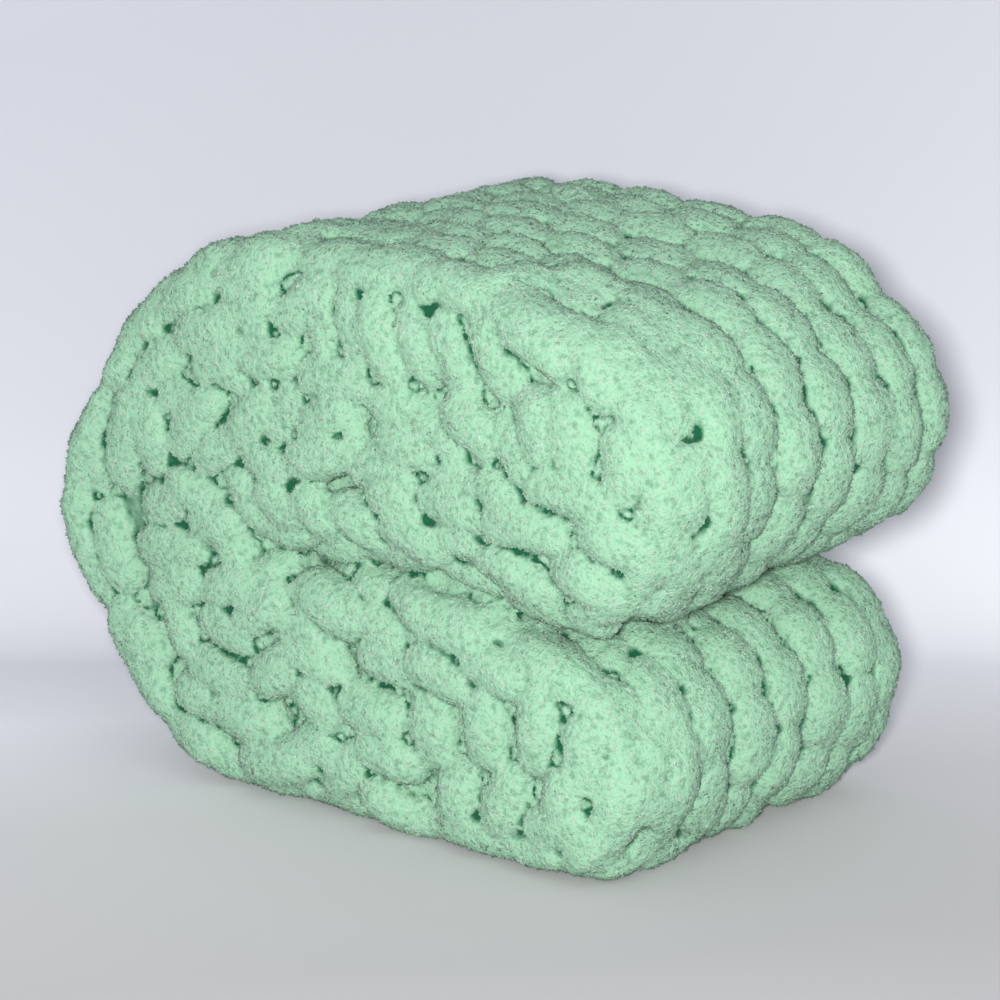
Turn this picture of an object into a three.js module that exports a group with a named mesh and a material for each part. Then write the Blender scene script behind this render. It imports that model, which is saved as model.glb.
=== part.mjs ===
// A chunky chenille knit blanket, folded and standing on its lowest layer.
// It is doubled lengthways, both ends are turned in to the middle, and it is folded once more.
// Millimetres. +X points to the two turned ends, +Y to the doubled edge at the back, +Z up.
import * as THREE from "three";

// The bundle: front edges to doubled edge, and the air between the two plies of a layer along their open edges.
const depth = 250;
const plyGap = 4;
const plyGapDepth = 28;
const height = 306;

// The knit: rows of stitches run along the cloth and stand proud as ribs.
const shownRibs = 7;
const backRibs = 4;
const ribDepth = 8;
const ribWander = 2.2;
const ribWanderLength = 380;
const stitchLength = 46;
const stitchDip = 4.5;
const stationsPerStitch = 4;
const hiddenStationLength = 18;

// The loops along the two open edges at the front.
const edgeLoopLength = 56;
const edgeLoopDepth = 11;
const edgeLoopRoundness = 1.6;
const edgeRound = 10;
const edgeWeave = 4;
const edgeStagger = 6;
const edgeStaggerLength = 520;

// The inside of a tight fold is squeezed by this much.
const foldPinch = 6;

// The weight of the bundle presses its lowest ribs flat, most at the ground and not at all above this height.
const groundPress = 13;
const groundPressHeight = 32;

// The run of the doubled cloth through the bundle, from its first end to its last.
// A fold turns half round its centre: reach is its way along X, radius its way along Z.
// thick goes to thickTo through a fold, and bulge fills its lower half.
const run = [
  { kind: "end", x: -138, z: 126, thick: 40 },
  { kind: "bend", x: -100, z: 114, thick: 56 },
  { kind: "bend", x: -50, z: 101, thick: 62 },
  { kind: "fold", x: 127, z: 65, reach: 34, radius: 34, thick: 62, thickTo: 62, bulge: 0 },
  { kind: "fold", x: -56, z: 148, reach: -124, radius: -117, thick: 62, thickTo: 82, bulge: 0.1 },
  { kind: "fold", x: 136, z: 221, reach: 46, radius: 44, thick: 82, thickTo: 84, bulge: 0 },
  { kind: "bend", x: -50, z: 182, thick: 80 },
  { kind: "bend", x: -100, z: 184, thick: 68 },
  { kind: "end", x: -140, z: 181, thick: 44 },
];

// The soft unevenness of the whole stack.
const layerWave = 5;
const layerWaveLength = 190;
const layerWaveSlant = 0.35;
const overhangLean = 10;
const topCrown = 22;
const topCrownWidth = 470;

const samplesPerFold = 60;
const samplesPerBend = 24;
const bendMinimum = 20;

const lerp = (a, b, t) => a + (b - a) * t;
const smooth = (t) => t * t * (3 - 2 * t);
const clamp01 = (t) => Math.min(1, Math.max(0, t));
const wave = (length, waveLength, turn) => Math.sin((2 * Math.PI * length) / waveLength + turn);

// A fixed, repeatable uneven number from 0 to 1.
function uneven(seed) {
  const s = Math.sin(seed * 12.9898 + 4.1414) * 43758.5453;
  return s - Math.floor(s);
}

// The points of one fold, turning half round its centre.
function foldPoints(stop) {
  const points = [];
  for (let i = 0; i <= samplesPerFold; i++) {
    const turn = (Math.PI * i) / samplesPerFold;
    const out = Math.sin(turn) + stop.bulge * Math.sin(2 * turn);
    points.push({
      x: stop.x + stop.reach * out,
      z: stop.z + stop.radius * Math.cos(turn),
      thick: lerp(stop.thick, stop.thickTo, smooth(i / samplesPerFold)),
      folded: stop.reach > 0 ? Math.sin(turn) : 0,
    });
  }
  return points;
}

// Fine points along the middle of the doubled cloth, with soft bends between the stops of its run.
function clothLine() {
  const stops = run.flatMap((stop) => (stop.kind === "fold" ? foldPoints(stop) : [{ ...stop, folded: 0 }]));
  const line = [stops[0]];
  for (let i = 1; i < stops.length; i++) {
    const a = stops[i - 1];
    const b = stops[i];
    const far = Math.hypot(b.x - a.x, b.z - a.z) > bendMinimum;
    const steps = far ? samplesPerBend : 1;
    for (let k = 1; k <= steps; k++) {
      const t = k / steps;
      line.push({
        x: lerp(a.x, b.x, t),
        z: lerp(a.z, b.z, smooth(t)),
        thick: lerp(a.thick, b.thick, smooth(t)),
        folded: lerp(a.folded, b.folded, t),
      });
    }
  }
  return line;
}

// Adds the outward direction and the length run along the outer face to every point of the line.
function measureLine(line) {
  let length = 0;
  line.forEach((point, i) => {
    const before = line[Math.max(0, i - 1)];
    const after = line[Math.min(line.length - 1, i + 1)];
    const along = new THREE.Vector2(after.x - before.x, after.z - before.z).normalize();
    point.outX = -along.y;
    point.outZ = along.x;
    point.faceX = point.x + (point.outX * point.thick) / 2;
    point.faceZ = point.z + (point.outZ * point.thick) / 2;
    if (i > 0) {
      const last = line[i - 1];
      length += Math.hypot(point.faceX - last.faceX, point.faceZ - last.faceZ);
    }
    point.length = length;
  });
}

// The point of the line at a length.
function pointAt(line, length) {
  let i = 1;
  while (i < line.length - 1 && line[i].length < length) i++;
  const a = line[i - 1];
  const b = line[i];
  const t = clamp01((length - a.length) / Math.max(1e-9, b.length - a.length));
  const out = new THREE.Vector2(lerp(a.outX, b.outX, t), lerp(a.outZ, b.outZ, t)).normalize();
  return {
    x: lerp(a.x, b.x, t),
    z: lerp(a.z, b.z, t),
    thick: lerp(a.thick, b.thick, t),
    folded: lerp(a.folded, b.folded, t),
    outX: out.x,
    outZ: out.y,
    length,
  };
}

// Where the cloth is cut across: closely where its outer face shows, widely between the layers.
function stations(line) {
  const step = stitchLength / stationsPerStitch;
  const total = line[line.length - 1].length;
  const turned = line.filter((point) => point.folded > 0);
  const firstShown = turned[0].length;
  const lastShown = turned[turned.length - 1].length;
  const lengths = [];
  for (let at = 0; at < firstShown - step; at += hiddenStationLength) lengths.push(at);
  for (let at = firstShown; at < lastShown; at += step) lengths.push(at);
  for (let at = lastShown + step; at < total - step; at += hiddenStationLength) lengths.push(at);
  lengths.push(total);
  return lengths.map((at) => pointAt(line, at));
}

// How far the crest of a rib dips. Two stitches meet at a full dip, and ribs are half a stitch apart.
function crestDip(rib, length) {
  const phase = length / stitchLength + (rib % 2) / 2;
  const stitch = Math.round(phase);
  const meeting = Math.abs(phase - stitch) < 1 / (2 * stationsPerStitch);
  return meeting ? stitchDip : stitchDip * 0.25 * uneven(rib * 7 + stitch);
}

// How far an open edge is drawn in: nothing in the middle of a loop, all of it where two loops meet.
function edgeDrawn(length, offset) {
  const phase = length / edgeLoopLength + offset;
  return edgeLoopDepth * (1 - Math.pow(Math.abs(Math.cos(Math.PI * phase)), edgeLoopRoundness));
}

// The outline of the doubled cloth cut across at a station: across is outwards, back is along Y.
function crossSection(at) {
  const outer = at.thick / 2;
  const inner = outer - foldPinch * at.folded;
  const slot = Math.min(plyGap / 2, outer / 8);
  const backCentre = depth / 2 - outer;
  const front = -depth / 2 + edgeStagger * wave(at.length, edgeStaggerLength, 0);
  const firstGroove = front + edgeRound * 0.7;
  const pitch = (backCentre - firstGroove) / shownRibs;
  const outline = [];
  const put = (across, back) => outline.push({ across, back });

  // The ribs of the outer face.
  for (let rib = 0; rib < shownRibs; rib++) {
    const wander = ribWander * wave(at.length, ribWanderLength, rib * 2.1);
    put(outer - crestDip(rib, at.length), firstGroove + pitch * (rib + 0.5) + wander);
    if (rib < shownRibs - 1) put(outer - ribDepth, firstGroove + pitch * (rib + 1) + wander);
  }
  // The doubled edge at the back, which turns from the outer face to the inner one.
  for (let corner = 0; corner < 2 * backRibs; corner++) {
    const turn = (Math.PI * corner) / (2 * backRibs);
    const rib = shownRibs + Math.floor(corner / 2);
    const down = corner % 2 ? crestDip(rib, at.length) : ribDepth * 0.8;
    const reach = lerp(outer, inner, turn / Math.PI) - down;
    put(reach * Math.cos(turn), backCentre + (outer - down) * Math.sin(turn));
  }
  // The inner face, plain and hidden.
  put(-inner, backCentre);
  put(-inner, 0);
  // The looped edge of the inner ply, the slot between the plies, and the looped edge of the outer ply.
  const weave = Math.min(edgeWeave, outer / 9) * wave(at.length, edgeLoopLength, 0);
  const innerEdge = front + edgeDrawn(at.length, 0.5);
  const outerEdge = front + edgeDrawn(at.length, 0);
  put(1 - inner, innerEdge + edgeRound);
  put(weave - inner * 0.8, innerEdge + edgeRound * 0.2);
  put(weave - inner * 0.5, innerEdge);
  put(weave - inner * 0.22, innerEdge + edgeRound * 0.2);
  put(-slot, innerEdge + edgeRound);
  put(-slot, front + plyGapDepth);
  put(slot, front + plyGapDepth);
  put(slot, outerEdge + edgeRound);
  put(weave + outer * 0.22, outerEdge + edgeRound * 0.2);
  put(weave + outer * 0.48, outerEdge);
  put(weave + outer * 0.72, outerEdge + edgeRound * 0.2);
  put(outer - ribDepth, outerEdge + edgeRound * 0.9);
  return outline;
}

// Moves a point of the even stack to its place in the settled one, which is pressed flat where it stands.
function settle(x, y, z) {
  const level = clamp01(z / height);
  const between = 3 * level * (1.15 - level);
  const lift = layerWave * between * wave(x + layerWaveSlant * y, layerWaveLength, 1.1);
  const crown = topCrown * level * level * (Math.cos((Math.PI * (x + 10)) / topCrownWidth) - 0.6);
  const pressed = groundPress * clamp01(1 - z / groundPressHeight);
  const lean = overhangLean * smooth(level) * (y / depth);
  return new THREE.Vector3(x + lean, y, Math.max(0, z + lift + crown - pressed));
}

function blanketGeometry() {
  const line = clothLine();
  measureLine(line);
  const cuts = stations(line);
  const outlines = cuts.map(crossSection);
  const rings = outlines.map((outline, i) =>
    outline.map(({ across, back }) =>
      settle(cuts[i].x + cuts[i].outX * across, back, cuts[i].z + cuts[i].outZ * across),
    ),
  );
  const around = rings[0].length;
  const faces = [];

  // The skin between one cut and the next, each four-sided patch split along its shorter diagonal.
  for (let i = 0; i + 1 < rings.length; i++) {
    for (let k = 0; k < around; k++) {
      const next = (k + 1) % around;
      const a = i * around + k;
      const b = i * around + next;
      const c = a + around;
      const d = b + around;
      const forward = rings[i][k].distanceTo(rings[i + 1][next]);
      const backward = rings[i][next].distanceTo(rings[i + 1][k]);
      if (forward < backward) faces.push(a, d, b, a, c, d);
      else faces.push(a, c, b, b, c, d);
    }
  }
  // The two cut ends.
  const cap = (index) => {
    const corners = outlines[index].map(({ across, back }) => new THREE.Vector2(across, back));
    return THREE.ShapeUtils.triangulateShape(corners, []);
  };
  const last = rings.length - 1;
  for (const [p, q, r] of cap(0)) faces.push(p, q, r);
  for (const [p, q, r] of cap(last)) faces.push(last * around + p, last * around + r, last * around + q);

  const geometry = new THREE.BufferGeometry().setFromPoints(rings.flat());
  geometry.setIndex(faces);
  geometry.computeBoundingBox();
  const { min, max } = geometry.boundingBox;
  geometry.translate(-(min.x + max.x) / 2, -(min.y + max.y) / 2, -min.z);
  geometry.computeVertexNormals();
  return geometry;
}

const chenille = new THREE.MeshStandardMaterial({ color: 0xa4dcb9, roughness: 0.95, metalness: 0 });

const group = new THREE.Group();
const blanket = new THREE.Mesh(blanketGeometry(), chenille);
blanket.name = "blanket";
group.add(blanket);

export default group;
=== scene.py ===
import math
import time

import bpy
import numpy as np
from mathutils import Matrix, Vector


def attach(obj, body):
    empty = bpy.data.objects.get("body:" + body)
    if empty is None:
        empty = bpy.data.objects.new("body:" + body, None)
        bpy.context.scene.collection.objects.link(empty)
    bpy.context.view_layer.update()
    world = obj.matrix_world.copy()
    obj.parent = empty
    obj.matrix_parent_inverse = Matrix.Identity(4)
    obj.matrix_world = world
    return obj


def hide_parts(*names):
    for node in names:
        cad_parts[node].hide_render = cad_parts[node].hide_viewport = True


# A chunky chenille knit blanket, doubled and folded. Lengths of yarn are laid along the fold path of the
# solid, fused to one skin with creases, and covered with short tufts of pile.

startTime = time.time()
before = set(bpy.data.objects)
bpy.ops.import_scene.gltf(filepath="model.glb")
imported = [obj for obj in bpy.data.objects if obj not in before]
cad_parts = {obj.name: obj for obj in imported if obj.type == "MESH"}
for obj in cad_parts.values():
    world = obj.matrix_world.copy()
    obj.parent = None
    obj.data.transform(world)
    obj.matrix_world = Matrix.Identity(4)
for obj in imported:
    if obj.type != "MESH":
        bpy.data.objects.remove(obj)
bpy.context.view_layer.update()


def say(text):
    print(f"[{time.time() - startTime:6.1f} s] {text}", flush=True)


# sRGB hex to the linear colour that Blender's nodes take.
def linearColour(hexText):
    values = [int(hexText[i : i + 2], 16) / 255 for i in (1, 3, 5)]
    return tuple(v / 12.92 if v <= 0.04045 else ((v + 0.055) / 1.055) ** 2.4 for v in values) + (1.0,)


def smooth(t):
    return t * t * (3 - 2 * t)


# The folded run of the cloth, in mm, as the solid has it.
cloth = dict(
    depth=250.0,
    height=306.0,
    shownRibs=7,
    backRibs=4,
    foldPinch=6.0,
    groundPress=13.0,
    groundPressHeight=32.0,
    layerWave=5.0,
    layerWaveLength=190.0,
    layerWaveSlant=0.35,
    overhangLean=10.0,
    topCrown=22.0,
    topCrownWidth=470.0,
    edgeRound=10.0,
    edgeStagger=6.0,
    edgeStaggerLength=520.0,
    planShift=(-3.02, 3.82),
)

run = [
    dict(kind="end", x=-138, z=126, thick=40),
    dict(kind="bend", x=-100, z=114, thick=56),
    dict(kind="bend", x=-50, z=101, thick=62),
    dict(kind="fold", x=127, z=65, reach=34, radius=34, thick=62, thickTo=62, bulge=0.0),
    dict(kind="fold", x=-56, z=148, reach=-124, radius=-117, thick=62, thickTo=82, bulge=0.1),
    dict(kind="fold", x=136, z=221, reach=46, radius=44, thick=82, thickTo=84, bulge=0.0),
    dict(kind="bend", x=-50, z=182, thick=80),
    dict(kind="bend", x=-100, z=184, thick=68),
    dict(kind="end", x=-140, z=181, thick=44),
]


def clothLine():
    stops = []
    for stop in run:
        if stop["kind"] == "fold":
            t = np.linspace(0, 1, 61)
            turn = math.pi * t
            out = np.sin(turn) + stop["bulge"] * np.sin(2 * turn)
            x = stop["x"] + stop["reach"] * out
            z = stop["z"] + stop["radius"] * np.cos(turn)
            thick = stop["thick"] + (stop["thickTo"] - stop["thick"]) * smooth(t)
            folded = np.sin(turn) * (stop["reach"] > 0)
            stops += list(zip(x, z, thick, folded))
        else:
            stops.append((stop["x"], stop["z"], stop["thick"], 0.0))
    line = [stops[0]]
    for a, b in zip(stops[:-1], stops[1:]):
        far = math.hypot(b[0] - a[0], b[1] - a[1]) > 20
        for t in np.linspace(0, 1, 25 if far else 2)[1:]:
            s = smooth(t)
            line.append(
                (
                    a[0] + (b[0] - a[0]) * t,
                    a[1] + (b[1] - a[1]) * (s if far else t),
                    a[2] + (b[2] - a[2]) * s,
                    a[3] + (b[3] - a[3]) * t,
                )
            )
    x, z, thick, folded = np.array(line, float).T
    alongX = np.gradient(x)
    alongZ = np.gradient(z)
    size = np.hypot(alongX, alongZ)
    outX, outZ = -alongZ / size, alongX / size
    faceX = x + outX * thick / 2
    faceZ = z + outZ * thick / 2
    steps = np.hypot(np.diff(faceX), np.diff(faceZ))
    length = np.concatenate([[0], np.cumsum(steps)])
    return dict(x=x, z=z, thick=thick, folded=folded, outX=outX, outZ=outZ, length=length)


line = clothLine()
totalLength = float(line["length"][-1])
turned = line["length"][line["folded"] > 0]
firstShown, lastShown = float(turned[0]), float(turned[-1])


def along(name, length):
    return np.interp(length, line["length"], line[name])


def settle(x, y, z):
    level = np.clip(z / cloth["height"], 0, 1)
    between = 3 * level * (1.15 - level)
    lift = cloth["layerWave"] * between * np.sin(
        2 * math.pi * (x + cloth["layerWaveSlant"] * y) / cloth["layerWaveLength"] + 1.1
    )
    crown = cloth["topCrown"] * level * level * (np.cos(math.pi * (x + 10) / cloth["topCrownWidth"]) - 0.6)
    pressed = cloth["groundPress"] * np.clip(1 - z / cloth["groundPressHeight"], 0, 1)
    lean = cloth["overhangLean"] * smooth(level) * (y / cloth["depth"])
    shiftX, shiftY = cloth["planShift"]
    return np.stack([x + lean + shiftX, y + shiftY, z + lift + crown - pressed], -1)


# Points of the bundle in mm, from the length along the cloth, the way out of its middle and the way back.
def place(length, across, back):
    outX, outZ = along("outX", length), along("outZ", length)
    size = np.hypot(outX, outZ)
    x = along("x", length) + outX / size * across
    z = along("z", length) + outZ / size * across
    return settle(x, np.broadcast_to(back, x.shape), z)


def outerHalf(length):
    return along("thick", length) / 2


def innerHalf(length):
    return outerHalf(length) - cloth["foldPinch"] * along("folded", length)


def frontOf(length):
    staggered = np.sin(2 * math.pi * length / cloth["edgeStaggerLength"])
    return -cloth["depth"] / 2 + cloth["edgeStagger"] * staggered


# The yarn, in mm: rows of stitches on the cloth and single lengths on its open front.
yarn = dict(
    seed=11,
    stitchLength=46.0,
    ribRadius=17.0,
    edgeRadius=13.5,
    edgeHalfLength=27.0,
    edgeSlant=24.0,
    ribWide=1.0,
    ribFlat=0.76,
    frontWide=1.12,
    frontFlat=1.0,
    shingle=0.25,
    squareness=0.92,
    ringCount=11,
    sideCount=14,
)
rng = np.random.default_rng(yarn["seed"])

meshParts = []
meshCount = 0


# A closed, round-ended length of yarn through points, in mm, pressed flat against the cloth's face.
def addTube(points, radii, outward, wide=1.0, flat=1.0):
    global meshCount
    points = np.array(points, float)
    points[:, 2] = np.maximum(points[:, 2], 0.8 * flat * radii.max())
    tangent = np.gradient(points, axis=0)
    tangent /= np.linalg.norm(tangent, axis=1)[:, None]
    side = np.cross(tangent, outward)
    side /= np.maximum(np.linalg.norm(side, axis=1), 1e-6)[:, None]
    other = np.cross(side, tangent)
    sides = yarn["sideCount"]
    angle = 2 * math.pi * np.arange(sides) / sides
    sideways = np.sign(np.cos(angle)) * np.abs(np.cos(angle)) ** yarn["squareness"] * wide
    proud = np.sign(np.sin(angle)) * np.abs(np.sin(angle)) ** yarn["squareness"] * flat
    section = sideways[None, :, None] * side[:, None] + proud[None, :, None] * other[:, None]
    ring = points[:, None] + radii[:, None, None] * section
    count = len(points)
    vertices = np.concatenate([ring.reshape(-1, 3), points[:1], points[-1:]])
    i, k = np.meshgrid(np.arange(count - 1), np.arange(sides), indexing="ij")
    a = i * sides + k
    b = i * sides + (k + 1) % sides
    quads = np.stack([a, b, b + sides, a + sides], -1).reshape(-1, 4)
    faces = np.concatenate([quads[:, [0, 1, 2]], quads[:, [0, 2, 3]]])
    first, last = count * sides, count * sides + 1
    ks = np.arange(sides)
    capA = np.stack([np.full(sides, first), (ks + 1) % sides, ks], -1)
    lastRing = (count - 1) * sides
    capB = np.stack([np.full(sides, last), lastRing + ks, lastRing + (ks + 1) % sides], -1)
    faces = np.concatenate([faces, capA, capB])
    meshParts.append((vertices, faces + meshCount))
    meshCount += len(vertices)


# The true length along one row, so that its stitches keep their size round every fold.
def rowMeasure(acrossAt, backAt, start, end):
    lengths = np.arange(start, end, 2.0)
    points = place(lengths, acrossAt(lengths), backAt(lengths))
    steps = np.linalg.norm(np.diff(points, axis=0), axis=1)
    return lengths, np.concatenate([[0], np.cumsum(steps)])


ringT = np.sin(np.linspace(-0.5, 0.5, yarn["ringCount"]) * math.pi)
ringT = np.sign(ringT) * np.abs(ringT) ** 0.9
roundEnd = np.sqrt(np.clip(1 - np.abs(ringT) ** 5, 0.0, 1)) * 0.999 + 0.001


def jitter(size):
    return float(rng.uniform(-size, size))


# The way towards the camera, which sets where a length of yarn shows, and the outline of the open front.
seen = np.array([math.sin(math.radians(41)) * 0.966, -math.cos(math.radians(41)) * 0.966, 0.257])
rimLengths = np.arange(firstShown - 30, lastShown + 30, 4.0)
rimLine = place(rimLengths, outerHalf(rimLengths), frontOf(rimLengths))[:, [0, 2]]
rimLine[:, 1] = np.maximum(rimLine[:, 1], 0)
# The yarn lies further in where the closed fold rolls under.
drawnIn = dict(amount=11.0, height=72.0, spread=38.0)
rolled = drawnIn["amount"] * np.exp(-(((rimLine[:, 1] - drawnIn["height"]) / drawnIn["spread"]) ** 2))
rolled = rolled * np.clip((-rimLine[:, 0] - 90) / 60, 0, 1)
rimLine = rimLine + rolled[:, None] * (0.85, 0.5)


# How far inside the outline of the front a point lies. It is less than nothing outside.
def rimDistance(x, z):
    x, z = np.asarray(x, float), np.asarray(z, float)
    gap = np.hypot(rimLine[None, :, 0] - x[:, None], rimLine[None, :, 1] - z[:, None]).min(1)
    x1, z1 = rimLine.T
    x2, z2 = np.roll(rimLine, -1, axis=0).T
    spans = (z1[None] > z[:, None]) != (z2[None] > z[:, None])
    crossing = x1 + (z[:, None] - z1) / np.where(z2 == z1, 1e-9, z2 - z1) * (x2 - x1)
    inside = (spans & (x[:, None] < crossing)).sum(1) % 2 == 1
    return np.where(inside, gap, -gap)


# How far the front's edge is rounded, in mm.
frontPlane = -121.0
rimRound = dict(
    usual=28.0,
    atGround=30.0,
    groundHeight=70.0,
    atEnds=46.0,
    endsFrom=110.0,
    endsTo=190.0,
    atFold=7.0,
    foldFrom=150.0,
    foldHeight=155.0,
    foldSpread=45.0,
)
eye = np.array([0, 0, 157.1]) + 2500 * seen


# How far the middle of yarn, sunk so deep, lies inside the body that the front's rounded edge leaves for it.
def insideFront(points, sunk):
    x, y, z = points.T
    low = np.clip(1 - z / rimRound["groundHeight"], 0, 1)
    end = smooth(np.clip((x - rimRound["endsFrom"]) / (rimRound["endsTo"] - rimRound["endsFrom"]), 0, 1))
    rounding = rimRound["usual"] + (rimRound["atGround"] - rimRound["usual"]) * low
    rounding = rounding + (rimRound["atEnds"] - rounding) * end
    level = (z - rimRound["foldHeight"]) / rimRound["foldSpread"]
    fold = np.clip((-x - rimRound["foldFrom"]) / 30, 0, 1) * np.exp(-(level**2))
    rounding = np.maximum(rounding + (rimRound["atFold"] - rounding) * fold - sunk, 3.0)
    fromRim = rounding - (rimDistance(x, z) - sunk)
    fromFront = rounding - (y - frontPlane - sunk)
    return rounding - np.hypot(np.maximum(fromRim, 0), np.maximum(fromFront, 0))


# The way straight in from the front's rounded edge.
def inwardFront(points, sunk):
    risen = [insideFront(points + step, sunk) - insideFront(points - step, sunk) for step in np.eye(3)]
    slope = np.stack(risen, 1) / 2
    return slope / np.maximum(np.linalg.norm(slope, axis=1), 0.2)[:, None]


# Points that stand out of the front's rounded edge, moved straight in.
def pushedIn(points, sunk):
    for _ in range(12):
        inside = insideFront(points, sunk)
        if inside.min() > -0.3:
            break
        points = points + inwardFront(points, sunk) * np.maximum(-inside, 0)[:, None]
    return points


# Middle points of yarn that is seen at x, z of the front plane. Each slides back along the line of sight.
def onFront(x, z, sunk):
    start = np.stack([x, np.full(len(x), frontPlane), z], -1)
    away = start - eye
    away /= np.linalg.norm(away, axis=1)[:, None]
    far = np.zeros(len(start))
    best, bestFar = np.full(len(start), -1e9), far.copy()
    for _ in range(80):
        inside = insideFront(start + away * far[:, None], sunk)
        better = (inside > best) & (best < -0.2)
        best = np.where(better, inside, best)
        bestFar = np.where(better, far, bestFar)
        far = far + np.maximum(-inside, 0.6) * (best < -0.2)
        if (best >= -0.2).all() or far.max() > 160:
            break
    return pushedIn(start + away * bestFar[:, None], sunk)


# The purl side of the knit: each stitch shows as a short arc of yarn that dives between its neighbours.
def addRibs():
    ribs, backs = cloth["shownRibs"], cloth["backRibs"]
    for rib in range(ribs + backs):
        onBack = rib >= ribs
        arch = 1 if rib % 2 else -1
        start, end = (0.0, totalLength) if rib >= ribs - 1 else (firstShown - 70, lastShown + 80)
        if rib == 0:
            start, end = 0.0, totalLength

        def rowBack(length, v=0.0, down=0.0):
            half = outerHalf(length)
            backCentre = cloth["depth"] / 2 - half
            firstGroove = frontOf(length) + cloth["edgeRound"] * 0.7
            pitch = (backCentre - firstGroove) / ribs
            if not onBack:
                return firstGroove + pitch * (rib + 0.5) + v
            turn = math.pi * (2 * (rib - ribs) + 1) / (2 * backs) + v / half
            return backCentre + (half - down) * np.sin(turn)

        def rowAcross(length, v=0.0, down=0.0):
            half = outerHalf(length)
            if not onBack:
                return half - down
            turn = math.pi * (2 * (rib - ribs) + 1) / (2 * backs) + v / half
            reach = half + (innerHalf(length) - half) * turn / math.pi
            return (reach - down) * np.cos(turn)

        lengths, walked = rowMeasure(lambda l: rowAcross(l, 0, 8), lambda l: rowBack(l, 0, 8), start, end)
        stitch = yarn["stitchLength"]
        count = int(walked[-1] / stitch)
        for k in range(count + 1):
            centre = (k + 0.5 * (rib % 2)) * stitch + jitter(2.5)
            reach = stitch * (0.60 + jitter(0.05))
            radius = yarn["ribRadius"] * (1 + jitter(0.11))
            at = centre + ringT * reach
            length = np.interp(at, walked, lengths)
            bow = arch * 4.5 * (np.cos(ringT * 1.7) - 0.5) + jitter(2.0) + jitter(2.5) * ringT
            down = radius * yarn["ribFlat"] - 0.5 + jitter(1.2) + 6.0 * np.abs(ringT) ** 3
            points = place(length, rowAcross(length, bow, down), rowBack(length, bow, down))
            above = place(length, rowAcross(length, bow, down - 2), rowBack(length, bow, down - 2)) - points
            if rib < 2:
                points = pushedIn(points, radius * yarn["ribFlat"] - 0.5)
            if np.linalg.norm(points[-1] - points[0]) < stitch * 0.5:
                continue
            tubeThick = radius * roundEnd * (1 - 0.12 * ringT**2)
            addTube(points, tubeThick, above, yarn["ribWide"], yarn["ribFlat"])


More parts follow.
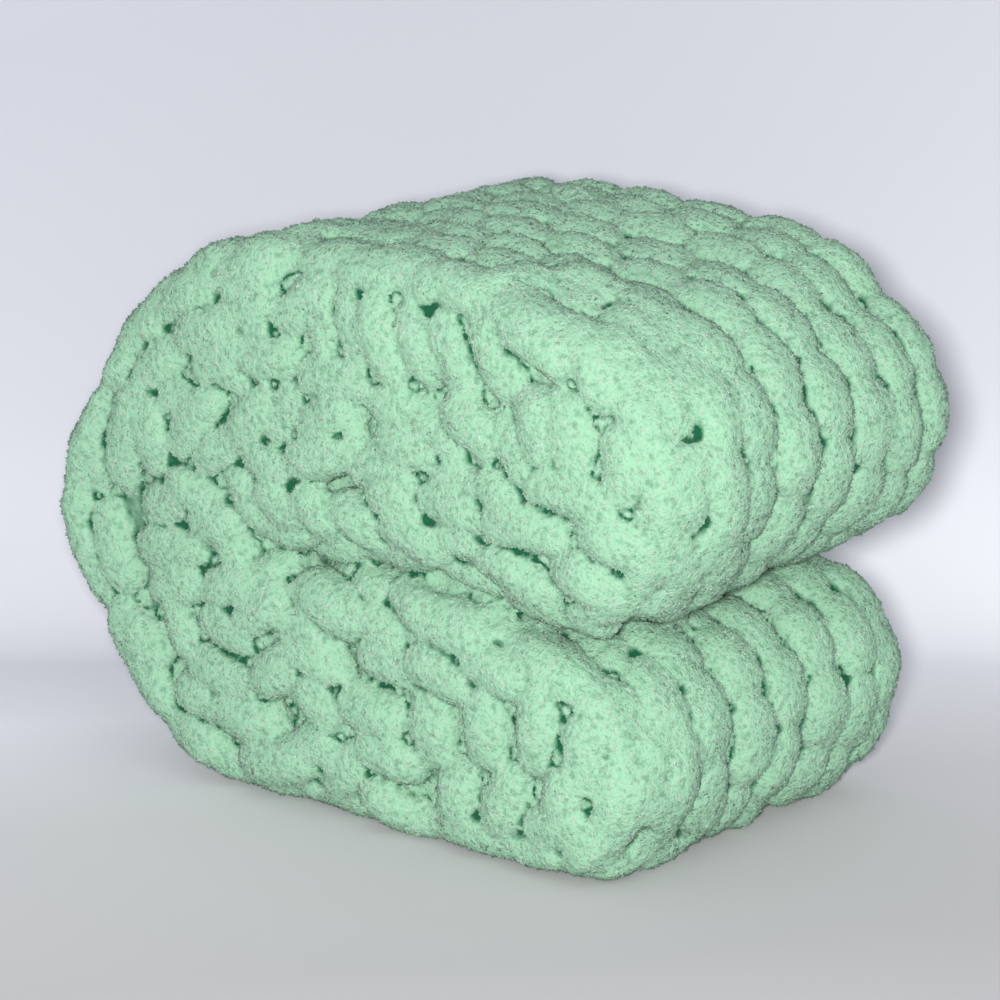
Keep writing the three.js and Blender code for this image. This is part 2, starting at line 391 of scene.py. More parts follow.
# The yarn that shows on the open front, piece by piece: from x1, z1 to x2, z2 on the front plane, a bow to
# its left and a radius, all in mm.
frontYarn = [
    # (x1, z1, x2, z2, bow, radius)
    # outer ply round the closed fold, from the ground up
    (-205, 150, -193, 104, 2, 11),
    (-180, 150, -166, 106, 2, 15),
    (-172, 93, -138, 70, -2, 14),
    (-165, 66, -131, 42, -3, 13),
    (-212, 192, -206, 152, 2, 11),
    (-190, 196, -184, 158, 2, 13),
    (-163, 164, -146, 222, 2, 13),
    (-192, 206, -168, 232, 3, 12),
    (-146, 222, -114, 246, 3, 13),
    (-164, 232, -130, 260, 3, 13),
    (-141, 213, -138, 176, 2, 12),
    (-130, 262, -90, 284, 3, 13),
    (-116, 254, -73, 271, -3, 13),
    (-104, 238, -66, 258, -3, 12),
    (-90, 288, -42, 305, -4, 13),
    (-88, 270, -46, 284, -2, 13),
    (-66, 272, -54, 248, 2, 12),
    (-48, 270, -5, 299, -3, 14),
    (-48, 306, 2, 317, 2, 12),
    (-4, 314, 42, 322, 2, 12),
    (0, 300, 42, 305, 2, 12),
    (-13, 284, -7, 256, -2, 11),
    (4, 291, 18, 256, -2, 11),
    (22, 292, 42, 252, -3, 12),
    (28, 322, 74, 318, 3, 12),
    (45, 300, 92, 305, 3, 13),
    (46, 290, 62, 258, -2, 12),
    (68, 292, 88, 252, -3, 12),
    # upper turned end: the outer arch, then what lies inside it
    (92, 300, 138, 311, 3, 13),
    (136, 312, 182, 308, 3, 13),
    (180, 310, 214, 292, 3, 13),
    (206, 306, 230, 280, 3, 12),
    (228, 284, 242, 244, 3, 12),
    (240, 248, 243, 204, 3, 12),
    (242, 208, 230, 174, 3, 12),
    (96, 292, 120, 258, -3, 13),
    (112, 290, 148, 275, 2, 10),
    (150, 294, 176, 262, 2, 12),
    (172, 296, 202, 258, 3, 12),
    (194, 288, 216, 250, 3, 12),
    (150, 258, 158, 224, 3, 15),
    (183, 248, 183, 214, 2, 12),
    (204, 250, 201, 220, 2, 12),
    (222, 246, 220, 206, 2, 12),
    (126, 212, 182, 207, 6, 14),
    (200, 212, 220, 188, 2, 12),
    (128, 256, 136, 228, 2, 12),
    (106, 240, 132, 214, 2, 13),
    (78, 246, 106, 230, -2, 12),
    (100, 212, 124, 198, -2, 12),
    # upper turned end: the ply inside
    (-120, 188, -85, 228, 3, 14),
    (-74, 198, -46, 232, 3, 13),
    (-46, 206, -28, 240, 3, 13),
    (-26, 243, 20, 245, 5, 13),
    (-26, 214, 8, 234, 2, 13),
    (-36, 200, 4, 211, -2, 12),
    (-2, 219, 14, 195, 2, 10),
    (22, 240, 54, 234, 2, 12),
    (28, 218, 62, 216, 2, 12),
    (50, 238, 82, 222, -2, 12),
    (62, 210, 102, 206, -2, 12),
    (14, 210, 52, 198, -2, 12),
    (-100, 242, -66, 232, 2, 11),
    (-70, 246, -30, 252, 2, 12),
    (56, 194, 98, 188, 2, 12),
    (100, 188, 148, 187, 5, 13),
    (24, 190, 52, 180, 2, 11),
    (165, 196, 200, 187, 2, 12),
    (200, 204, 224, 178, 2, 13),
    (150, 172, 192, 166, 3, 14),
    (190, 170, 228, 162, 4, 13),
    (112, 163, 150, 151, 3, 13),
    (94, 168, 128, 162, 2, 11),
    (68, 164, 106, 151, 2, 12),
    (30, 176, 70, 166, 2, 11),
    (56, 178, 92, 172, 2, 11),
    (156, 150, 186, 147, 3, 9),
    # the thin stretch between the main slit and the line above it
    (-78, 181, -62, 164, 2, 12),
    (-56, 179, -36, 167, 2, 12),
    (-30, 178, -10, 166, 2, 11),
    (-4, 177, 22, 166, 2, 11),
    (20, 162, 54, 150, 2, 11),
    (-46, 152, -14, 150, 2, 11),
    (-8, 156, 26, 150, 2, 11),
    (-104, 184, -70, 204, 3, 13),
    (-68, 199, -34, 192, -2, 12),
    # lower pack, closed side
    (-142, 154, -112, 162, 2, 13),
    (-146, 133, -100, 140, -2, 14),
    (-140, 112, -104, 119, -2, 12),
    (-126, 172, -90, 160, 2, 12),
    (-108, 150, -66, 156, 2, 12),
    (-128, 106, -118, 74, 2, 11),
    (-100, 118, -62, 130, -3, 13),
    (-75, 104, -45, 121, -2, 12),
    (-58, 128, -25, 143, 2, 12),
    (-88, 138, -56, 150, 2, 12),
    (-30, 126, 8, 116, 3, 13),
    (-50, 112, -10, 98, 2, 13),
    (-42, 96, -5, 87, 2, 12),
    (-112, 78, -62, 72, -4, 14),
    (-100, 100, -70, 90, 2, 12),
    (-60, 76, -34, 94, -3, 13),
    (-6, 143, 32, 136, 2, 12),
    (5, 120, 42, 112, 2, 13),
    (12, 100, 52, 98, 2, 12),
    (0, 77, 40, 72, -3, 13),
    (-32, 80, -8, 60, 3, 14),
    # lower pack, bottom
    (-122, 54, -88, 48, 2, 12),
    (-96, 54, -52, 50, -3, 13),
    (-128, 38, -95, 28, -2, 12),
    (-72, 27, -25, 39, -3, 13),
    (-98, 24, -66, 18, -2, 10),
    (-62, 18, -14, 18, -3, 10),
    (-8, 22, 13, 47, 3, 13),
    (12, 50, 48, 46, 3, 13),
    (-30, 44, -6, 40, 2, 12),
    (16, 28, 52, 22, -2, 12),
    (24, 20, 60, 17, -2, 10),
    (80, 52, 74, 28, 3, 14),
    (58, 17, 94, 16, -2, 10),
    (88, 20, 130, 17, -3, 11),
    (118, 63, 104, 29, 3, 15),
    (128, 38, 166, 47, -6, 13),
    (150, 64, 147, 42, 2, 12),
    (142, 20, 190, 27, -3, 11),
    (190, 34, 228, 36, -3, 12),
    # lower turned end
    (40, 140, 60, 122, 2, 11),
    (56, 133, 100, 124, -3, 13),
    (100, 139, 136, 130, 2, 11),
    (137, 139, 179, 123, 3, 15),
    (180, 140, 222, 124, 4, 13),
    (220, 126, 236, 84, 4, 13),
    (236, 90, 232, 52, 3, 12),
    (150, 114, 196, 103, -3, 13),
    (196, 116, 218, 100, 2, 12),
    (133, 108, 132, 66, 2, 13),
    (163, 96, 163, 58, -2, 12),
    (200, 98, 194, 70, 3, 14),
    (216, 92, 214, 62, 2, 12),
    (196, 70, 214, 60, -3, 11),
    (185, 74, 178, 44, 2, 13),
    (228, 56, 200, 38, 3, 12),
    (58, 94, 60, 57, 4, 16),
    (98, 98, 98, 64, 3, 14),
    (48, 105, 88, 96, 2, 12),
    (85, 113, 125, 104, 2, 12),
    (116, 124, 142, 112, 2, 11),
    # beside the long slit, and under the crease at the upper left
    (55, 148, 96, 146, 2, 12),
    (60, 134, 94, 131, -2, 11),
    (-132, 212, -113, 221, 2, 11),
]

laid = []


# Whether half of a piece of yarn would lie inside pieces that are already laid.
def tooClose(points, radius):
    covered = np.zeros(len(points), bool)
    for other, otherRadius in laid:
        far = np.linalg.norm(points[:, None] - other[None], axis=2).min(1)
        covered |= far < 0.62 * (radius + otherRadius)
    return covered.mean() > 0.45


# Lays the yarn of the open front. Its ends dive under their neighbours.
def addFront():
    for x1, z1, x2, z2, bow, radius in frontYarn:
        t = ringT
        way = np.array([x2 - x1, z2 - z1], float)
        size = np.hypot(*way)
        way /= size
        reach = size / 2 + 6
        side = bow * np.cos(t * 1.57)
        x = (x1 + x2) / 2 + way[0] * t * reach - way[1] * side
        z = (z1 + z2) / 2 + way[1] * t * reach + way[0] * side
        deep = radius * yarn["frontFlat"]
        points = onFront(x, z, deep - 1.5)
        inward = inwardFront(points, deep + 4)
        points = points + inward * (7.0 * np.abs(t)[:, None] ** 3 + jitter(2.4))
        outward = np.array([0, 0, yarn["shingle"]]) - inward
        addTube(points, radius * (1 + jitter(0.05)) * roundEnd, outward, yarn["frontWide"], yarn["frontFlat"])
        laid.append((points, radius * yarn["frontWide"]))


# More yarn along the open edges of both plies, wherever the front has none yet.
def addEdges():
    filled = 0
    for ply in ("outer", "inner"):
        for row in (0, 1):

            def rowAcross(length, v=0.0):
                half = outerHalf(length) if ply == "outer" else innerHalf(length)
                middle = half * (0.74 if row else 0.26)
                return (middle + v) * (1 if ply == "outer" else -1)

            lengths, walked = rowMeasure(rowAcross, lambda l: frontOf(l) + 12, 0.0, totalLength)
            step = 9.0
            for k in range(int(walked[-1] / step) + 1):
                half = yarn["edgeHalfLength"] * (0.8 + jitter(0.2))
                slant = math.radians(yarn["edgeSlant"] * (1 if row else -1) + jitter(20))
                radius = yarn["edgeRadius"] * (1 + jitter(0.1))
                at = k * step + ringT * half * math.cos(slant)
                if at[0] < -8 or at[-1] > walked[-1] + 8:
                    continue
                length = np.interp(at, walked, lengths)
                v = ringT * half * math.sin(slant) + 3.5 * np.cos(ringT * 1.6) * (1 if row else -1)
                back = frontOf(length) + radius + 1 + jitter(2.0) + 7.5 * np.abs(ringT) ** 2.4
                deep = radius * yarn["frontFlat"]
                points = pushedIn(place(length, rowAcross(length, v), back), deep - 1.5)
                if np.linalg.norm(points[-1] - points[0]) < half * 1.4 or tooClose(points, radius * 1.2):
                    continue
                frontUp = -inwardFront(points, deep + 4)
                addTube(points, radius * roundEnd, frontUp, yarn["frontWide"], yarn["frontFlat"])
                laid.append((points, radius * 1.2))
                filled += 1
    say(f"front yarn: {len(frontYarn)} placed, {filled} filled in")


# The body of the cloth under its yarn surface, closed a little deeper than the loops reach.
def addCore():
    global meshCount
    lengths = np.arange(0.0, totalLength, 9.0)
    lengths = np.append(lengths, totalLength)
    shown = (lengths > firstShown - 45) & (lengths < lastShown + 45)
    half, inner = outerHalf(lengths), innerHalf(lengths)
    skin = np.where(shown, half - 9.0, half + 2.5)
    backCentre = cloth["depth"] / 2 - half
    front = frontOf(lengths) + 15
    corners = [(skin, front), (skin, (front + backCentre) / 2), (skin, backCentre)]
    for turn in (0.25, 0.5, 0.75):
        reach = half - 9.0
        corners.append((reach * math.cos(math.pi * turn), backCentre + reach * math.sin(math.pi * turn)))
    corners += [(-inner - 2.5, backCentre), (-inner - 2.5, (front + backCentre) / 2), (-inner - 2.5, front)]
    rings = np.stack([place(lengths, across, back) for across, back in corners], 1)
    count, around = rings.shape[:2]
    rings = pushedIn(rings.reshape(-1, 3), 9.0).reshape(count, around, 3)
    rings[..., 2] = np.maximum(rings[..., 2], 1.0)
    i, k = np.meshgrid(np.arange(count - 1), np.arange(around), indexing="ij")
    a = i * around + k
    b = i * around + (k + 1) % around
    lowerFaces = np.stack([a, a + around, b], -1).reshape(-1, 3)
    upperFaces = np.stack([b, a + around, b + around], -1).reshape(-1, 3)
    faces = np.concatenate([lowerFaces, upperFaces])
    fan = np.arange(1, around - 1)
    capA = np.stack([np.zeros_like(fan), fan, fan + 1], -1)
    capB = np.stack([np.zeros_like(fan), fan + 1, fan], -1) + (count - 1) * around
    faces = np.concatenate([faces, capA, capB])
    meshParts.append((rings.reshape(-1, 3), faces + meshCount))
    meshCount += count * around


def meshFrom(name, vertices, faces):
    mesh = bpy.data.meshes.new(name)
    mesh.vertices.add(len(vertices))
    mesh.vertices.foreach_set("co", np.ascontiguousarray(vertices, np.float32).ravel())
    mesh.loops.add(faces.size)
    mesh.loops.foreach_set("vertex_index", np.ascontiguousarray(faces, np.int32).ravel())
    mesh.polygons.add(len(faces))
    mesh.polygons.foreach_set("loop_start", np.arange(0, faces.size, faces.shape[1], dtype=np.int32))
    mesh.update(calc_edges=True)
    mesh.validate()
    return mesh


def objectFrom(name, mesh):
    made = bpy.data.objects.new(name, mesh)
    bpy.context.scene.collection.objects.link(made)
    return made


addCore()
addRibs()
addFront()
addEdges()
allVertices = np.concatenate([v for v, _ in meshParts]) * 0.001
allFaces = np.concatenate([f for _, f in meshParts])
say(f"yarn laid: {len(meshParts)} lengths, {len(allFaces)} faces")

# The top lies a little fuller towards its far edge, and the corner over the turned end a little lower. All
# in metres.
farCorner = dict(
    start=-0.01,
    over=0.09,
    raised=0.007,
    raisedAt=0.085,
    raisedWide=0.065,
    raisedFrom=0.22,
    raisedOver=0.07,
    sunk=0.009,
    sunkAt=(0.18, 0.28),
    sunkWide=0.035,
)
# One skin goes round all the yarn. Lengths are in metres, and the values ending in From or To are shares of
# the skin's points, from 0 to 1.
skin = dict(
    voxel=0.0024,
    keep=195000,
    smoothing=1,
    fillTimes=4,
    fillFrom=0.93,
    # creaseFrom to creaseTo set where creases are painted dark as shade; floorFrom to floorTo take it off
    # wide hollows
    creaseFrom=0.72,
    creaseTo=0.93,
    floorFrom=0.90,
    floorTo=0.965,
    creaseDepth=0.0035,
    crumb=0.0015,
)

draft = objectFrom("draft", meshFrom("draft", allVertices, allFaces))
remesh = draft.modifiers.new("skin", "REMESH")
remesh.mode = "VOXEL"
remesh.voxel_size = skin["voxel"] * 1
bpy.context.view_layer.update()
count = len(draft.evaluated_get(bpy.context.evaluated_depsgraph_get()).data.polygons) * 2
if count > skin["keep"]:
    thin = draft.modifiers.new("thin", "DECIMATE")
    thin.ratio = skin["keep"] / count
bpy.context.view_layer.update()
graph = bpy.context.evaluated_depsgraph_get()
skinned = draft.evaluated_get(graph).to_mesh()
vertexCount = len(skinned.vertices)
points = np.empty(vertexCount * 3, np.float32)
skinned.vertices.foreach_get("co", points)
points = points.reshape(-1, 3).astype(float)
skinned.calc_loop_triangles()
triangles = np.empty(len(skinned.loop_triangles) * 3, np.int32)
skinned.loop_triangles.foreach_get("vertices", triangles)
triangles = triangles.reshape(-1, 3)
draft.evaluated_get(graph).to_mesh_clear()
bpy.data.objects.remove(draft)
say(f"skin: {vertexCount} vertices, {len(triangles)} triangles")


def edgesOf(triangles):
    pairs = np.concatenate([triangles[:, [0, 1]], triangles[:, [1, 2]], triangles[:, [2, 0]]])
    return np.unique(np.sort(pairs, axis=1), axis=0)


# A number for each vertex, the same throughout a shell. Only the outer shell is kept.
def shellOf(count, edges):
    label = np.arange(count)
    while True:
        low = np.minimum(label[edges[:, 0]], label[edges[:, 1]])
        new = label.copy()
        np.minimum.at(new, edges[:, 0], low)
        np.minimum.at(new, edges[:, 1], low)
        new = new[new]
        if (new == label).all():
            return label
        label = new


label = shellOf(vertexCount, edgesOf(triangles))
biggest = np.bincount(label[triangles[:, 0]]).argmax()
triangles = triangles[label[triangles[:, 0]] == biggest]
used = np.unique(triangles)
remap = np.full(vertexCount, -1)
remap[used] = np.arange(len(used))
points, triangles = points[used], remap[triangles]
edges = edgesOf(triangles)
say(f"outer shell: {len(triangles)} triangles")


# Each vertex moved to the mean of its neighbours, times over.
def relaxed(values, edges, times):
    count = np.bincount(edges.ravel(), minlength=len(values))[:, None]
    for _ in range(times):
        total = np.stack(
            [
                np.bincount(edges[:, 0], values[edges[:, 1], c], len(values))
                + np.bincount(edges[:, 1], values[edges[:, 0], c], len(values))
                for c in range(values.shape[1])
            ],
            1,
        )
        values = 0.35 * values + 0.65 * total / count
    return values


def vertexNormals(points, triangles):
    a, b, c = points[triangles].transpose(1, 0, 2)
    face = np.cross(b - a, c - a)
    cornerSums = [
        sum(np.bincount(triangles[:, k], face[:, axis], len(points)) for k in range(3)) for axis in range(3)
    ]
    normals = np.stack(cornerSums, 1)
    return normals / np.maximum(np.linalg.norm(normals, axis=1), 1e-12)[:, None]


points = relaxed(points, edges, skin["smoothing"])
x, y, z = points.T
far = smooth(np.clip((y - farCorner["start"]) / farCorner["over"], 0, 1))
humpShare = np.exp(-(((x - farCorner["raisedAt"]) / farCorner["raisedWide"]) ** 2))
topShare = smooth(np.clip((z - farCorner["raisedFrom"]) / farCorner["raisedOver"], 0, 1))
raised = humpShare * topShare * far * farCorner["raised"]
besideX = (x - farCorner["sunkAt"][0]) / farCorner["sunkWide"]
besideZ = (z - farCorner["sunkAt"][1]) / farCorner["sunkWide"]
sunken = np.exp(-(besideX**2) - besideZ**2) * far * farCorner["sunk"]
points = points + np.stack([-0.7 * sunken, 0 * x, raised - 0.7 * sunken], 1)
# The deepest hollows between three strands are filled, as soft pile swells into them.
for turn in range(skin["fillTimes"]):
    normals = vertexNormals(points, triangles)
    depth = ((relaxed(points, edges, 12) - points) * normals).sum(1)
    points = points + normals * np.clip(depth - np.quantile(depth, skin["fillFrom"]), 0, 0.004)[:, None]
    if turn == 0:
        points = relaxed(points, edges, 1)
normals = vertexNormals(points, triangles)
wide = relaxed(points, edges, 3)
wideNormals = vertexNormals(relaxed(wide, edges, 16), triangles)
hollow = ((wide - points) * normals).sum(1)  # above 0 in a crease, below 0 on a crest
# Painted shade: how far down a crease each vertex lies sets the dark green painted there; it also presses the
# crease deeper.
shallow, deepest = np.quantile(hollow, [skin["creaseFrom"], skin["creaseTo"]])
creased = np.clip((hollow - shallow) / (deepest - shallow), 0, 1)
# Painted shade: only the narrow creases are painted dark; the floor of a wide hollow is pile like the rest.
depth = ((relaxed(points, edges, 12) - points) * normals).sum(1)
shallow, deepest = np.quantile(depth, skin["floorFrom"]), np.quantile(depth, skin["floorTo"])
creased = creased * (1 - 0.9 * smooth(np.clip((depth - shallow) / (deepest - shallow), 0, 1)))


# A repeatable number from 0 to 1 for each whole-numbered cell.
def hashed(cell, seed):
    x, y, z = (cell[..., i].astype(np.int64) for i in range(3))
    h = (x * 73856093) ^ (y * 19349663) ^ (z * 83492791) ^ (seed * 2654435761)
    h &= 0xFFFFFFFF
    h = ((h ^ (h >> 16)) * 0x45D9F3B) & 0xFFFFFFFF
    h = ((h ^ (h >> 16)) * 0x45D9F3B) & 0xFFFFFFFF
    return ((h ^ (h >> 16)) & 0xFFFFFF) / float(0xFFFFFF)


# Smooth noise from -1 to 1, with lumps of a size in metres.
def softNoise(at, size, seed):
    p = at / size
    base = np.floor(p)
    part = smooth(p - base)
    total = 0.0
    for corner in range(8):
        offset = np.array([corner & 1, corner >> 1 & 1, corner >> 2 & 1])
        weight = np.prod(np.where(offset, part, 1 - part), axis=1)
        total = total + weight * hashed(base + offset, seed)
    return 2 * total - 1


# The nearest tuft's middle, its distance and its own number, for scattered tufts of a size in metres.
def nearestTuft(at, size, seed):
    base = np.floor(at / size)
    best = np.full(len(at), 1e9)
    middle = np.zeros_like(at)
    number = np.zeros(len(at))
    for i in (-1, 0, 1):
        for j in (-1, 0, 1):
            for k in (-1, 0, 1):
                cell = base + (i, j, k)
                spot = np.stack([hashed(cell, seed + s) for s in (1, 2, 3)], 1)
                centre = (cell + 0.15 + 0.7 * spot) * size
                far = np.linalg.norm(centre - at, axis=1)
                near = far < best
                best = np.where(near, far, best)
                middle[near] = centre[near]
                number[near] = hashed(cell[near], seed + 4)
    return middle, best, number


lumps = softNoise(points, 0.013, 5) * 0.6 + softNoise(points, 0.0062, 6) * 0.55
points = points + normals * (lumps * skin["crumb"] - creased * skin["creaseDepth"])[:, None]
points[:, 2] = np.maximum(points[:, 2], 0.0)
normals = vertexNormals(points, triangles)
say("crumbs raised")

# deep is the painted shade of the creases and flecks; two sweep colours are painted light: a band of light
# and shade atop the backdrop.
colours = dict(
    pile="#9DCCAB",
    deep="#196142",
    tip="#BBD5C1",
    floor="#BBBABA",
    middle="#CDCCCD",
    paintedLightBand="#E6E6EB",
    wall="#C8C9CF",
    paintedTopShade="#B6B7BF",
)


# Adds a node with its settings, and links sockets or sets values by input name.
def node(tree, kind, settings=None, **links):
    made = tree.nodes.new(kind)
    for key, value in (settings or {}).items():
        setattr(made, key, value)
    for key, value in links.items():
        socket = made.inputs[int(key[1:])] if key[0] == "_" else made.inputs[key.replace("_", " ")]
        if isinstance(value, bpy.types.NodeSocket):
            tree.links.new(value, socket)
        else:
            socket.default_value = value
    return made


def newMaterial(name):
    made = bpy.data.materials.new(name)
    made.use_nodes = True
    made.node_tree.nodes.clear()
    return made, made.node_tree


# Chenille yarn: cut polyester microfibre, spun and steamed open. It scatters light with no shine at all. Its
# colour holds painted shade: deep green painted into the creases, and small darker flecks painted in the low
# spots of the grain, between the crumbs. The tufts are paler and greyer at their tips.
def chenilleMaterial(name, through):
    material, tree = newMaterial(name)
    foldShade = node(tree, "ShaderNodeAttribute", dict(attribute_name="crease"))
    tuftShade = node(tree, "ShaderNodeAttribute", dict(attribute_name="tuft"))
    # Painted shade: the pile colour turns deep green where the crease attribute is large.
    ramp = node(
        tree, "ShaderNodeMapRange", None, _0=foldShade.outputs["Fac"], _1=0.22, _2=0.75, _3=0.0, _4=1.0
    )
    base = node(
        tree,
        "ShaderNodeMix",
        dict(data_type="RGBA"),
        _0=ramp.outputs[0],
        _6=linearColour(colours["pile"]),
        _7=linearColour(colours["deep"]),
    )
    tips = node(
        tree,
        "ShaderNodeMix",
        dict(data_type="RGBA"),
        _0=tuftShade.outputs["Fac"],
        _6=base.outputs[2],
        _7=linearColour(colours["tip"]),
    )
    where = node(tree, "ShaderNodeTexCoord")
    # crumbs of pile about 4 mm across
    grain = node(
        tree,
        "ShaderNodeTexNoise",
        None,
        Vector=where.outputs["Object"],
        Scale=260.0,
        Detail=3.0,
        Roughness=0.65,
    )
    bump = node(tree, "ShaderNodeBump", None, Height=grain.outputs[0], Strength=1.0, Distance=0.002)
    # Painted shade: flecks of deep green painted where the grain is lowest, in the pits of the bump between
    # the crumbs.
    flecks = node(tree, "ShaderNodeMapRange", None, _0=grain.outputs[0], _1=0.32, _2=0.5, _3=0.4, _4=0.0)
    flecked = node(
        tree,
        "ShaderNodeMix",
        dict(data_type="RGBA"),
        _0=flecks.outputs[0],
        _6=tips.outputs[2],
        _7=linearColour(colours["deep"]),
    )
    surface = node(
        tree,
        "ShaderNodeBsdfPrincipled",
        None,
        Base_Color=flecked.outputs[2],
        Roughness=0.95,
        Normal=bump.outputs[0],
    )
    surface.inputs["Sheen Weight"].default_value = 0.25
    surface.inputs["Sheen Tint"].default_value = linearColour(colours["tip"])
    surface.inputs["Sheen Roughness"].default_value = 0.5
    surface.inputs["Specular IOR Level"].default_value = 0.15
    glow = node(tree, "ShaderNodeBsdfTranslucent", None, Color=flecked.outputs[2])
    mixed = node(tree, "ShaderNodeMixShader", None, _0=through, _1=surface.outputs[0], _2=glow.outputs[0])
    node(tree, "ShaderNodeOutputMaterial", None, Surface=mixed.outputs[0])
    return material


knitMaterial = chenilleMaterial("chenilleYarn", 0.2)
pileMaterial = chenilleMaterial("chenillePile", 0.2)


def putAttribute(mesh, name, values):
    layer = mesh.attributes.new(name, "FLOAT", "POINT")
    layer.data.foreach_set("value", np.ascontiguousarray(values, np.float32))


knitMesh = meshFrom("blanketKnit", points, triangles)
# Painted shade: the crease attribute holds the dark green painted into the creases.
putAttribute(knitMesh, "crease", creased)
putAttribute(knitMesh, "tuft", np.zeros(len(points)))
knitMesh.shade_smooth()
knit = objectFrom("blanketKnit", knitMesh)
knit.data.materials.append(knitMaterial)
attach(knit, "root")
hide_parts("blanket")
say("knit skin made")

pile = dict(
    seed=23,
    pieces=4,
    tuftsEach=64000,
    height=0.0017,
    width=0.0017,
    sunk=0.0007,
    clumpSize=0.0058,
    roundness=0.5,
    evenness=0.5,
)


# Tufts of pile: small leaning three-sided points that gather in clumps, as cut chenille does.
def addPile():
    rng = np.random.default_rng(pile["seed"])
    each = pile["tuftsEach"] // 1
    total = each * pile["pieces"]
    a, b, c = points[triangles].transpose(1, 0, 2)
    area = np.linalg.norm(np.cross(b - a, c - a), axis=1) / 2
    area = area * (((a + b + c)[:, 2] / 3) > 0.001)
    say(f"skin area {area.sum():.3f} m2")
    folded = creased[triangles].mean(1) + softNoise((a + b + c) / 3, 0.005, 51) * 0.2
    area = area * np.clip(1.6 - folded * 1.5, 0.15, 1)
    chosen = rng.choice(len(area), total, p=area / area.sum())
    u, v = rng.random(total), rng.random(total)
    flip = u + v > 1
    u[flip], v[flip] = 1 - u[flip], 1 - v[flip]
    w = 1 - u - v
    weight = np.stack([w, u, v], 1)[..., None]
    corner = triangles[chosen]
    root = (points[corner] * weight).sum(1)
    out = (normals[corner] * weight).sum(1)
    out /= np.linalg.norm(out, axis=1)[:, None]
    broad = (wideNormals[corner] * weight).sum(1)
    fold = (creased[corner] * weight[..., 0]).sum(1)
    lit = out * (1 - pile["evenness"]) + broad * pile["evenness"]

    middle, far, number = nearestTuft(root, pile["clumpSize"], 31)
    toClump = middle - root
    toClump -= out * (toClump * out).sum(1)[:, None]
    drift = np.stack([softNoise(root, 0.02, s) for s in (41, 42, 43)], 1)
    way = out + toClump / pile["clumpSize"] * 1.1 + rng.normal(size=(total, 3)) * 0.33 + drift * 0.5
    way += out * np.clip(0.45 - (way * out).sum(1), 0, None)[:, None]
    way /= np.linalg.norm(way, axis=1)[:, None]
    near = np.clip(1 - far / pile["clumpSize"] * 1.3, 0, 1)
    pressedDown = 1 - 0.5 * np.clip(fold, 0, 1)
    tall = pile["height"] * rng.uniform(0.55, 1.15, total) * (0.5 + 0.8 * near) * pressedDown
    wide = pile["width"] * rng.uniform(0.75, 1.3, total)

    side = np.cross(out, rng.normal(size=(total, 3)))
    side /= np.linalg.norm(side, axis=1)[:, None]
    other = np.cross(out, side)
    start = root - out * pile["sunk"]
    feet = []
    soft = []
    for turn in (0, 1, 2):
        angle = 2 * math.pi * turn / 3
        radial = math.cos(angle) * side + math.sin(angle) * other
        foot = start + radial * wide[:, None]
        foot[:, 2] = np.maximum(foot[:, 2], 0.0002)
        feet.append(foot)
        soft.append(lit + radial * pile["roundness"])
    tip = root + way * tall[:, None]
    tip[:, 2] = np.maximum(tip[:, 2], 0.0004)
    corners = np.stack(feet + [tip], 1)
    soft = np.stack(soft + [lit * 0.7 + way * 0.5], 1)
    soft /= np.linalg.norm(soft, axis=2)[..., None]
    # Painted shade in the tuft tone, beside its random part: tufts far from their clump's middle are painted
    # darker, as shade between crumbs.
    shade = np.clip(0.42 + 0.35 * (number - 0.5) + 0.6 * (near - 0.35) + rng.normal(size=total) * 0.16, 0, 1)
    shade *= 1 - 0.85 * np.clip(fold * 1.25, 0, 1)  # painted shade: deep green, not grey, in a crease
    faces = np.array([[0, 1, 3], [1, 2, 3], [2, 0, 3]])
    for piece in range(pile["pieces"]):
        rows = slice(piece * each, (piece + 1) * each)
        every = (faces[None] + 4 * np.arange(each)[:, None, None]).reshape(-1, 3)
        mesh = meshFrom(f"pile{piece + 1}", corners[rows].reshape(-1, 3), every)
        # Painted shade: tufts down a crease carry its painted dark green too.
        putAttribute(mesh, "crease", np.repeat(np.clip(fold[rows] * 1.25 - 0.1, 0, 1), 4))
        # Painted shade: each tuft's feet are painted darker than its tip.
        tone = np.stack([shade[rows] * 0.7] * 3 + [shade[rows]], 1).ravel()
        putAttribute(mesh, "tuft", tone)
        mesh.shade_smooth()
        mesh.normals_split_custom_set_from_vertices(soft[rows].reshape(-1, 3).tolist())
        made = objectFrom(f"pile{piece + 1}", mesh)
        mesh.materials.append(pileMaterial)
        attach(made, "root")
        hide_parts("blanket")


addPile()
say("pile laid")

stage = dict(wallBehind=0.33, bend=0.12, wide=4.0, tall=3.0, near=-3.0)
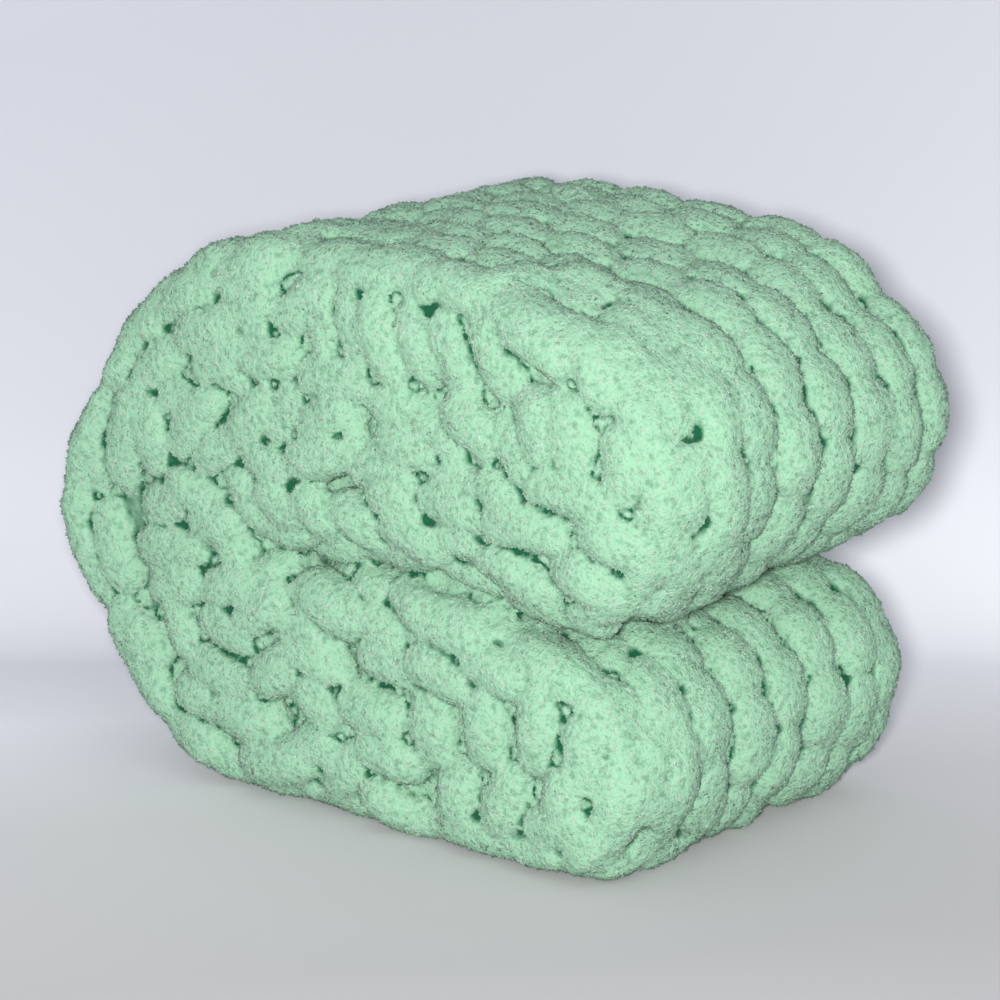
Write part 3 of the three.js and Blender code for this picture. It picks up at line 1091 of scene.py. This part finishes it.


# A paper sweep, rolled down in one piece: matt, with no line where the grey floor curves up into the paler,
# slightly violet backdrop. Its ramp paints light too: a band of light behind the bundle, shade at the top of
# the backdrop, and a floor painted darker towards the right.
def addStage():
    material, tree = newMaterial("paperSweep")
    where = node(tree, "ShaderNodeTexCoord")
    # Painted light falloff: the ramp runs on a slant, so the floor is painted darker towards the right.
    falloffSlant = node(
        tree,
        "ShaderNodeVectorMath",
        dict(operation="DOT_PRODUCT"),
        _0=where.outputs["Object"],
        _1=(-0.22, 1, 1),
    )
    reach = node(
        tree, "ShaderNodeMapRange", None, _0=falloffSlant.outputs["Value"], _1=-0.4, _2=0.8, _3=0.0, _4=1.0
    )
    shaded = node(tree, "ShaderNodeValToRGB", None, _0=reach.outputs[0])
    # Painted light on the sweep: one stop is a band of light painted behind the bundle, and the top stop
    # painted shade on the upper backdrop.
    stops = shaded.color_ramp.elements
    stops[0].position, stops[0].color = 0.1, linearColour(colours["floor"])
    stops[1].position, stops[1].color = 0.95, linearColour(colours["paintedTopShade"])
    for at, name in ((0.3, "middle"), (0.46, "paintedLightBand"), (0.68, "wall")):
        stops.new(at).color = linearColour(colours[name])
    surface = node(tree, "ShaderNodeBsdfPrincipled", None, Base_Color=shaded.outputs[0], Roughness=0.9)
    node(tree, "ShaderNodeOutputMaterial", None, Surface=surface.outputs[0])
    profile = [(stage["near"], 0.0), (stage["wallBehind"] - stage["bend"], 0.0)]
    for turn in np.linspace(0, math.pi / 2, 17)[1:]:
        forward = stage["wallBehind"] - stage["bend"] * (1 - math.sin(turn))
        profile.append((forward, stage["bend"] * (1 - math.cos(turn))))
    profile.append((stage["wallBehind"], stage["tall"]))
    vertices, faces = [], []
    for forward, up in profile:
        for across in (-stage["wide"], stage["wide"]):
            vertices.append((across, forward, up - 0.0005))
    for i in range(len(profile) - 1):
        faces.append((2 * i, 2 * i + 1, 2 * i + 3, 2 * i + 2))
    mesh = meshFrom("sweep", np.array(vertices), np.array(faces))
    mesh.shade_smooth()
    made = objectFrom("sweep", mesh)
    made.rotation_euler = (0, 0, math.radians(camera["azimuth"]))
    mesh.materials.append(material)


camera = dict(
    azimuth=41.0,
    elevation=14.9,
    distance=2.5,
    sideways=-0.0012,
    height=0.1571,
    pixelsPerMillimetre=1.85,
)


def cameraAxes():
    a, e = math.radians(camera["azimuth"]), math.radians(camera["elevation"])
    back = np.array([math.sin(a) * math.cos(e), -math.cos(a) * math.cos(e), math.sin(e)])
    right = np.array([math.cos(a), math.sin(a), 0.0])
    return back, right, np.cross(back, right)


def addCamera():
    back, right, up = cameraAxes()
    data = bpy.data.cameras.new("camera")
    data.sensor_width = 36.0
    data.lens = camera["pixelsPerMillimetre"] * camera["distance"] * 36.0
    data.clip_end = 50
    made = bpy.data.objects.new("camera", data)
    at = np.array([0, 0, camera["height"]]) + back * camera["distance"] + right * camera["sideways"]
    matrix = np.eye(4)
    matrix[:3, 0], matrix[:3, 1], matrix[:3, 2], matrix[:3, 3] = right, up, back, at
    made.matrix_world = Matrix(matrix.tolist())
    bpy.context.scene.collection.objects.link(made)
    bpy.context.scene.camera = made


def addLight(name, at, towards, size, power, colour=(1, 1, 1)):
    data = bpy.data.lights.new(name, "AREA")
    data.shape = "DISK"
    data.size = size
    data.energy = power
    data.color = colour
    made = bpy.data.objects.new(name, data)
    made.location = at
    made.rotation_euler = (Vector(towards) - Vector(at)).to_track_quat("-Z", "Y").to_euler()
    bpy.context.scene.collection.objects.link(made)


# A small flash close to the lens, which leaves only a narrow shadow, and the soft light of a white room.
flash = dict(aimHeight=0.1, distance=2.4, sideways=-0.05, raised=0.08, size=0.16, power=63)
room = dict(colour=(0.93, 0.94, 1.0, 1), strength=0.62)

addStage()
addCamera()
back, right, up = cameraAxes()
aim = np.array([0, 0, flash["aimHeight"]])
flashAt = aim + back * flash["distance"] + right * flash["sideways"] + np.array([0, 0, flash["raised"]])
addLight("flash", tuple(flashAt), tuple(aim), flash["size"], flash["power"])
world = bpy.data.worlds.new("studio")
bpy.context.scene.world = world
world.use_nodes = True
world.node_tree.nodes["Background"].inputs[0].default_value = room["colour"]
world.node_tree.nodes["Background"].inputs[1].default_value = room["strength"]
bpy.context.scene.view_settings.view_transform = "Standard"
say("stage, light and camera set")
